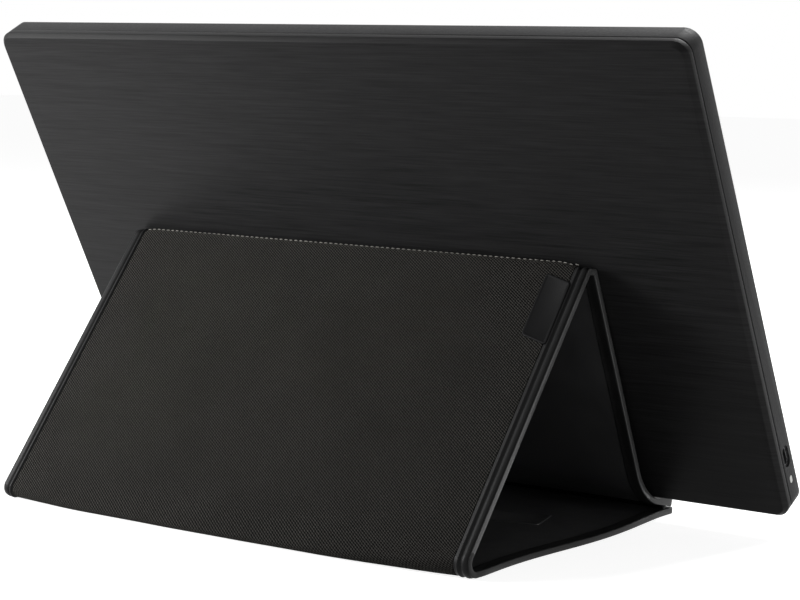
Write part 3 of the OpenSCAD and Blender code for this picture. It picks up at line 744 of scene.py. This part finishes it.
def close_tube(bm):
    """Joins the sides of the tube and fills its two ends."""
    bmesh.ops.remove_doubles(bm, verts=bm.verts, dist=weld / 2 * MM)
    bmesh.ops.holes_fill(bm, edges=[e for e in bm.edges if e.is_boundary], sides=0)
    bmesh.ops.recalc_face_normals(bm, faces=bm.faces)


def sweep(bm, ring, rows, place):
    """Adds a closed tube: every ring point is placed at every row. Its rim gets slot 1."""
    made = bmesh.ops.create_grid(bm, x_segments=len(ring), y_segments=len(rows) - 1, size=0.5)
    for face in {face for vert in made["verts"] for face in vert.link_faces}:
        points = [ring[round((v.co.x + 0.5) * len(ring)) % len(ring)] for v in face.verts]
        on_edge = all(offset < 0.13 and 0 < depth < 2.8 for offset, depth in points)
        face.material_index = int(on_edge)
    for vert in made["verts"]:
        offset, depth = ring[round((vert.co.x + 0.5) * len(ring)) % len(ring)]
        vert.co = place(rows[round((vert.co.y + 0.5) * (len(rows) - 1))], offset, depth)


# Rim faces below this height, in millimetres, get the darker rim leather: a painted shade.
half_t, painted_shade_below = panel_t / 2, 11


def rounded_end(t, offset, depth):
    """Rounds a side binding off towards the two free ends of the strip."""
    close = min(1.0, max(0.0, 1 - (t - START) / END_ROUND, 1 - (TIP - t) / END_ROUND))
    inset = 1.6 * (1 - (1 - close ** 2) ** 0.5)
    thin = 0.68 + 0.32 * (1 - max(0.0, 3 * close - 2) ** 2) ** 0.5
    return offset + inset, half_t + (depth - half_t) * thin


def side_bindings(name, t0, t1, rim):
    def near_side(t, offset, depth):
        offset, depth = rounded_end(t, offset, depth)
        return lay(t, right_edge + offset, depth)

    def far_side(t, offset, depth):
        offset, depth = rounded_end(t, offset, depth)
        return lay(t, left_edge - offset, depth)

    bm = bmesh.new()
    rows = rows_between(t0, t1)
    sweep(bm, near_ring, rows, near_side)
    sweep(bm, far_ring, rows, far_side)
    close_tube(bm)
    # Low rim faces take slot 2, the darker rim leather: painted shade low down.
    for face in bm.faces:
        if face.material_index and face.calc_center_median().z < painted_shade_below * MM:
            face.material_index = 2
    return link_piece(name, bm, [binding_leather, rim, folded_rim_painted_shade], radians(70))


cuts = [START, BASE_CUT, REAR_CUT, SUPPORT_CUT, TIP]
# The standing panels' rims get the painted highlight; the base's rims get the painted shade.
rims = {"base": folded_rim_painted_shade, "rear": polished_rim_painted_highlight, "crest": polished_rim_painted_highlight, "support": polished_rim_painted_highlight}
bindings = [side_bindings(f"{panel}_binding", cuts[i], cuts[i + 1], rims[panel])
            for i, panel in enumerate(rims)]
move_with_panels(bindings)
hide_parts("base_bindings")
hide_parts("rear_bindings")
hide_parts("support_bindings", "ledge_bindings")
print("bindings:", [len(b.data.polygons) for b in bindings])

# %% [markdown]
# ## The bindings of the two free ends
#
# The base's free end and the ledge's tip are bound in the same way, but the leather runs across
# the cover here. The ring is the same kind of section, swept along x. Towards its two ends it
# draws in and gets thinner, so that it ends inside the side bindings.

# %% End bindings
end_ring = [(6.0, 0.4), (5.6, 0.1), (5.0, -0.05), (4.0, -0.1), (2.0, -0.12), (0.6, 0.0),
            (0.1, 0.4), (0.0, 0.9), (0.0, 2.1), (0.1, 2.6), (0.5, 3.0), (1.2, 3.2), (2.2, 3.18),
            (4.0, 2.9), (5.2, 3.0), (5.7, 2.95), (6.0, 2.4), (5.4, 2.0), (1.8, 1.7), (1.8, 1.1),
            (5.6, 0.9)]


def end_binding(name, t_end, inward):
    """A binding across a free end. `inward` is the sign of the walk away from that end."""
    bm = bmesh.new()
    steps, inset = 48, 0.9
    first, last = right_edge + inset, left_edge - inset
    rows = [first + (last - first) * i / steps for i in range(steps + 1)]

    def place(x, offset, depth):
        corner = ease((right_edge + 6 - x) / 5) + ease((x - left_edge + 6) / 5)
        t = t_end + inward * (offset + 1.3 * corner)
        return lay(t, x, half_t + (depth - half_t) * (1 - 0.2 * corner))

    sweep(bm, end_ring, rows, place)
    close_tube(bm)
    # The end binding's rim takes the darker rim leather, a painted shade.
    piece = link_piece(name, bm, [binding_leather, folded_rim_painted_shade], radians(70))
    return piece


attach(end_binding("free_end_binding", START, 1), "base_panel")
tip_binding = end_binding("tip_binding", TIP, -1)
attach(tip_binding, "ledge")
print("end bindings done")

# %% [markdown]
# ## The contrast stitches
#
# A row of pale stitches runs along the crest, where the skin was turned over and sewn down.
# Each stitch is 2 mm of thread that sinks at both ends. It is made as a low-sided sphere,
# stretched and laid on the crest. They stand 3 mm apart, and run down a little at the right
# end, where the crest's binding is folded square.

# %% Stitches
def make_thread():
    material, shader = start_finish("pale_thread", (0.42, 0.40, 0.36), 0.75, specular=0.3)
    where = place_pattern(material)
    twist = add(material, "ShaderNodeTexWave", {"Vector": where, "Scale": 900.0},
                wave_type="BANDS", bands_direction="DIAGONAL").outputs["Fac"]
    feed(material, shade(material, twist, (0.15, 0.145, 0.13), (0.34, 0.33, 0.3)),
         shader.inputs["Base Color"])
    emboss(material, shader, twist, 0.1, 0.5)
    return material


def sew_crest(t_row, pitch, length, thick):
    """Sews one row of stitches, and gives their number."""
    bm = bmesh.new()
    first, last = left_edge - 5.4, right_edge + 4.4
    binding_depth, binding_ends = -0.35, right_edge + 9
    count = int((first - last) / pitch)
    for i in range(count):
        x = first - (i + 0.5) * pitch
        made = bmesh.ops.create_uvsphere(bm, u_segments=8, v_segments=6, radius=0.5)
        ahead, behind = (lay(t_row, x + side, skin_depth) for side in (1, -1))
        slope = (ahead - behind).normalized()
        outward = heading_at(walk(t_row, x)[1] - pi / 2)
        across = outward.cross(slope)
        size = Matrix.Diagonal((thick * MM, thick * MM, length * MM))
        turn = Matrix((across, outward, slope)).transposed()
        ground = skin_depth if x > binding_ends else binding_depth
        at = lay(t_row, x, ground - thick * 0.22)
        bmesh.ops.transform(bm, matrix=Matrix.Translation(at) @ (turn @ size).to_4x4(),
                            verts=made["verts"])
    bmesh.ops.recalc_face_normals(bm, faces=bm.faces)
    piece = link_piece("crest_stitches", bm, [make_thread()], radians(180))
    crossing(piece, CREST + 2, SUPPORT - 2)
    return count


print("stitches:", sew_crest(CREST + 8.9, pitch=3.0, length=2.0, thick=0.55))

# %% [markdown]
# ## The two tabs
#
# The label tab is a leather patch beside the binding, just below the crest, cut on a slant; the
# lining tab is a wider patch of lining leather, sewn flat inside, on the base. Both are thin
# plates with rounded corners. An inset and a small push make the pressed border, and a bevel
# softens the edges. The plate is made flat, in the strip's own (x, t) plane, and then laid on it.

# %% Tabs
def make_tab(name, x_mid, t_mid, width, length, thick, depth, inward, border, turn=0.0,
             slant=0.0, finish=tab_leather):
    """A plate whose underside lies at a depth, and which stands out or inward from there."""
    corner, soft_edge, groove_w, groove_d = 1.6, 0.22, 0.35, 0.16
    bm = bmesh.new()
    bmesh.ops.create_cube(bm, size=1.0, matrix=Matrix.Diagonal((width, length, thick, 1)))
    upright = [e for e in bm.edges if abs(e.verts[0].co.z - e.verts[1].co.z) > thick / 2]
    bmesh.ops.bevel(bm, geom=upright, offset=corner, segments=5, profile=0.5,
                    affect="EDGES", material=-1)
    top = [f for f in bm.faces if f.normal.z > 0.9]
    bmesh.ops.inset_region(bm, faces=top, thickness=border, depth=0)
    bmesh.ops.inset_region(bm, faces=top, thickness=groove_w, depth=-groove_d)
    rim = [e for e in bm.edges if len(e.link_faces) == 2 and e.calc_face_angle() > radians(50)
           and all(v.co.z > 0 for v in e.verts)]
    bmesh.ops.bevel(bm, geom=rim, offset=soft_edge, segments=2, profile=0.5,
                    affect="EDGES", material=-1)
    flat = Matrix.Rotation(turn, 4, "Z")
    for vert in bm.verts:
        spot = flat @ vert.co
        height = spot.z + thick / 2
        t, x = t_mid + spot.y + slant * spot.x, x_mid + spot.x
        vert.co = lay(t, x, depth + height if inward else depth - height)
    bmesh.ops.recalc_face_normals(bm, faces=bm.faces)
    piece = link_piece(name, bm, [finish], radians(40))
    print(name, "faces", len(piece.data.polygons))
    return piece


def on_rear(distance):
    """The walk to a place on the rear panel, by its distance from the front fold's corner."""
    return REAR + distance - front_half


label = make_tab("label_patch", right_edge + 12.8, on_rear(rear_len - 28.4), width=13.8,
                 length=32, thick=0.8, depth=skin_depth, inward=False, border=0.9, slant=0.285)
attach(label, "rear_panel")
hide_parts("label_tab")
inner_tab = make_tab("inner_patch", right_edge + 45.3, base_len - 112.8, width=28, length=22,
                     thick=0.4, depth=2.5, inward=True, border=1.2, turn=radians(15),
                     finish=lining_leather)
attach(inner_tab, "base_panel")
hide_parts("lining_tab")

# %% [markdown]
# ## Finishes of the parts that the CAD gives as they are
#
# Stiff boards, magnets, films, boards with chips, screws and the socket keep their CAD meshes.
# Each gets a finish for its material, also those that are shut in, because the object can be
# taken apart. Up to four numbers follow a colour: the roughness, the grain's fineness and its
# depth, and 1 for a metal.

# %% Inner and small parts
def dress(node, material):
    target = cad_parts[node]
    target.data.materials.clear()
    target.data.materials.append(material)


def make_circuit():
    material, shader = start_finish("circuit_board", (0.02, 0.12, 0.06), 0.4)
    where = place_pattern(material, turn=(LEAN, 0, 0))
    tracks = add(material, "ShaderNodeTexBrick", {
        "Vector": where, "Scale": 260.0, "Mortar Size": 0.02,
        "Color1": (0.015, 0.10, 0.05, 1), "Color2": (0.02, 0.14, 0.07, 1),
        "Mortar": (0.06, 0.25, 0.12, 1)})
    feed(material, tracks.outputs["Color"], shader.inputs["Base Color"])
    emboss(material, shader, tracks.outputs["Fac"], 0.03, 0.6)
    return material


def make_screen():
    material, shader = start_finish("screen_glass", (0.006, 0.006, 0.008), 0.22)
    fine = grain(material, place_pattern(material), 6000, 1)
    feed(material, spread(material, fine, 0.3, 0.7, 0.18, 0.28), shader.inputs["Roughness"])
    tone = grain(material, place_pattern(material), 12, 2)
    feed(material, shade(material, tone, (0.005, 0.005, 0.007), (0.009, 0.009, 0.012)),
         shader.inputs["Base Color"])
    emboss(material, shader, fine, 0.008, 0.4)
    return material


def make_lens(name, colour, glow):
    material, shader = start_finish(name, colour, 0.35)
    frost = grain(material, place_pattern(material), 1500, 2)
    feed(material, spread(material, frost, 0.3, 0.7, 0.28, 0.42), shader.inputs["Roughness"])
    emboss(material, shader, frost, 0.02, 0.4)
    shader.inputs["Emission Color"].default_value = (*colour, 1)
    shader.inputs["Emission Strength"].default_value = glow
    return material


steel = make_moulded("zinc_steel", (0.42, 0.43, 0.45), 0.35, 900, 0.02, 1.0)
tray_metal = make_moulded("tray_sheet", (0.6, 0.61, 0.62), 0.4, 400, 0.02, 1.0)
nickel = make_moulded("nickel_plate", (0.55, 0.55, 0.56), 0.28, 1400, 0.01, 1.0)
port_shell = make_moulded("port_shell", (0.16, 0.16, 0.165), 0.4, 1400, 0.01, 1.0)
fibre = make_moulded("fibre_board", (0.24, 0.2, 0.15), 0.85, 700, 0.15)
white_film = make_moulded("white_film", (0.82, 0.83, 0.84), 0.5, 1500, 0.02, change=0.05)
acrylic = make_moulded("light_guide_acrylic", (0.72, 0.78, 0.8), 0.12, 300, 0.01, change=0.04)
phosphor = make_moulded("led_phosphor", (0.75, 0.62, 0.25), 0.5, 900, 0.03)
amber_flex = make_moulded("amber_flex", (0.22, 0.12, 0.03), 0.35, 1200, 0.02)
black_plastic = make_moulded("black_plastic", (0.025, 0.025, 0.027), 0.4)
button_satin = make_moulded("button_satin", (0.035, 0.035, 0.037), 0.3)
circuit, screen = make_circuit(), make_screen()
side_lens = make_lens("frosted_lens", (0.42, 0.42, 0.4), 0.05)
power_lens = make_lens("power_lens", (0.7, 0.75, 0.8), 0.0)

dressing = {
    "lcd_panel": screen, "diffuser_stack": white_film, "light_guide": acrylic,
    "reflector_sheet": white_film, "led_strip": phosphor, "backlight_tray": tray_metal,
    "tray_screws": steel, "driver_board": circuit, "board_screws": steel,
    "board_shield": nickel, "panel_cable": amber_flex, "usb_port": port_shell,
    "port_tongue": black_plastic, "side_light_lens": side_lens, "power_button": button_satin,
    "button_board": circuit, "button_switch": black_plastic, "power_light_lens": power_lens,
    "rear_board": fibre, "base_board": fibre, "support_board": fibre, "ledge_board": fibre,
    "base_magnets": nickel, "ledge_magnets": nickel,
}
for node, material in dressing.items():
    dress(node, material)
print("dressed CAD parts:", len(dressing))

# %% [markdown]
# ## Floor, light and background
#
# A plain pale floor and four soft lamps make the studio. One stands low behind the object, on
# the left, and lights the back face and the cover. A large one hangs overhead, in front of the
# screen. One stands low at the right and draws the bright rims of the bindings, and a weak one
# fills in from the front. The background is white to the camera, in mirrors and through glass,
# and only a dim, even light to everything else, so the floor keeps a soft shadow.

# %% Studio
def white_to_the_eye(tree):
    """1 for rays that look at the background: from the camera, in mirrors and through glass."""
    path = tree.nodes.new("ShaderNodeLightPath")
    total = path.outputs["Is Camera Ray"]
    for other in ("Is Glossy Ray", "Is Transmission Ray"):
        either = tree.nodes.new("ShaderNodeMath")
        either.operation = "MAXIMUM"
        tree.links.new(total, either.inputs[0])
        tree.links.new(path.outputs[other], either.inputs[1])
        total = either.outputs[0]
    return total


def make_floor():
    reach, drop = 6, 0.2 * MM
    bm = bmesh.new()
    bmesh.ops.create_grid(bm, x_segments=1, y_segments=1, size=reach,
                          matrix=Matrix.Translation((0, 0, -drop)))
    floor = link_piece("floor", bm, [])
    material = bpy.data.materials.new("floor_paper")
    material.use_nodes = True
    tree = material.node_tree
    shader = tree.nodes["Principled BSDF"]
    shader.inputs["Base Color"].default_value = (0.5, 0.5, 0.5, 1)
    shader.inputs["Roughness"].default_value = 0.9
    shader.inputs["Specular IOR Level"].default_value = 0
    shader.inputs["Emission Color"].default_value = (0.88, 0.88, 0.88, 1)
    tree.links.new(white_to_the_eye(tree), shader.inputs["Emission Strength"])
    floor.data.materials.append(material)


def make_world():
    world = bpy.data.worlds.new("studio")
    bpy.context.scene.world = world
    world.use_nodes = True
    tree = world.node_tree
    ambient = tree.nodes["Background"]
    ambient.inputs["Color"].default_value = (1, 1, 1, 1)
    ambient.inputs["Strength"].default_value = 0.17
    white = tree.nodes.new("ShaderNodeBackground")
    white.inputs["Color"].default_value = (1, 1, 1, 1)
    mix = tree.nodes.new("ShaderNodeMixShader")
    tree.links.new(white_to_the_eye(tree), mix.inputs[0])
    tree.links.new(ambient.outputs[0], mix.inputs[1])
    tree.links.new(white.outputs[0], mix.inputs[2])
    tree.links.new(mix.outputs[0], tree.nodes["World Output"].inputs["Surface"])


def soft_lamp(name, place, target, size, power):
    """A square lamp, `size` metres wide, that shines from a place towards a target."""
    lamp = bpy.data.objects.new(name, bpy.data.lights.new(name, "AREA"))
    lamp.data.size = size
    lamp.data.energy = power
    bpy.context.scene.collection.objects.link(lamp)
    lamp.location = place
    aim = Vector(target) - Vector(place)
    lamp.rotation_euler = aim.to_track_quat("-Z", "Y").to_euler()
    lamp.visible_camera = False


make_floor()
make_world()
soft_lamp("left_lamp", (0.46, 0.36, 0.30), (0.05, 0.02, 0.12), 0.30, 5.5)
soft_lamp("top_lamp", (-0.1, -0.9, 1.3), (0, 0, 0.1), 0.9, 42)
soft_lamp("side_lamp", (-1.2, -0.08, 0.12), (-0.1, 0, 0.1), 0.5, 4.5)
soft_lamp("front_lamp", (-0.2, -1.6, 0.6), (0, 0, 0.1), 0.8, 4)
bpy.context.scene.view_settings.view_transform = "Standard"
print("studio ready")
